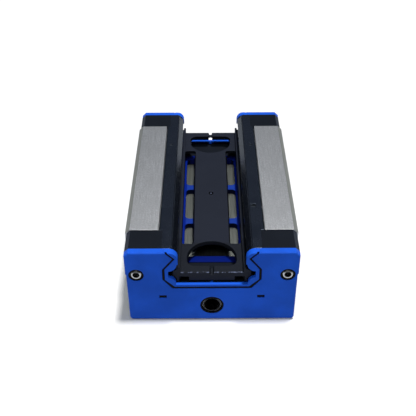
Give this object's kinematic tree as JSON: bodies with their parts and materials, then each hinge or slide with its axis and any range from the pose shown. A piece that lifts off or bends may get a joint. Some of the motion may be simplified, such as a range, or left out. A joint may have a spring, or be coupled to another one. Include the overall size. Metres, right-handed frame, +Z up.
{
  "type": "linear guide block",
  "caption": "Flangeless ball-type linear guide block with blue end plates and a plastic transport arbor in its rail channel, lying on its mounting face.",
  "frame": {"origin": "centre of the mounting face, on the ground that the block lies on", "axes": "+X across the rail, +Y along the travel from the front end to the rear end, +Z up out of the rail channel"},
  "size_m": [0.07, 0.1088, 0.037],
  "materials": {
    "body_steel": "fine ground, grain along the travel",
    "cap_black": "satin moulded",
    "plate_blue": "satin moulded",
    "seal_blue": "smooth elastomer",
    "strip_black": "satin moulded",
    "retainer_blue": "satin moulded",
    "arbor_black": "fine-textured moulded",
    "screw_metal": "bright socket screw",
    "port_metal": "blackened, threaded",
    "ball_steel": "polished bearing steel",
    "tube_plastic": "natural plastic",
    "core_plastic": "satin moulded"
  },
  "bodies": {
    "carriage": {"carriage_body": "body_steel", "front_end_cap": "cap_black", "front_end_plate": "plate_blue", "front_grease_port": "port_metal", "front_left_lower_turn_core": "core_plastic", "front_left_screw": "screw_metal", "front_left_upper_turn_core": "core_plastic", "front_right_lower_turn_core": "core_plastic", "front_right_screw": "screw_metal", "front_right_upper_turn_core": "core_plastic", "front_wiper_seal": "seal_blue", "left_lower_balls": "ball_steel", "left_lower_retainer": "strip_black", "left_lower_return_tube": "tube_plastic", "left_upper_balls": "ball_steel", "left_upper_return_tube": "tube_plastic", "rear_end_cap": "cap_black", "rear_end_plate": "plate_blue", "rear_grease_port": "port_metal", "rear_left_lower_turn_core": "core_plastic", "rear_left_screw": "screw_metal", "rear_left_upper_turn_core": "core_plastic", "rear_right_lower_turn_core": "core_plastic", "rear_right_screw": "screw_metal", "rear_right_upper_turn_core": "core_plastic", "rear_wiper_seal": "seal_blue", "right_lower_balls": "ball_steel", "right_lower_retainer": "strip_black", "right_lower_return_tube": "tube_plastic", "right_upper_balls": "ball_steel", "right_upper_return_tube": "tube_plastic", "upper_retainer": "retainer_blue"},
    "arbor": {"transport_arbor": "arbor_black"}
  },
  "joints": [
    {"name": "arbor_slide", "type": "slide", "parent": "carriage", "child": "arbor", "axis": [0, 1, 0], "range_m": [-0.11, 0.11]}
  ]
}
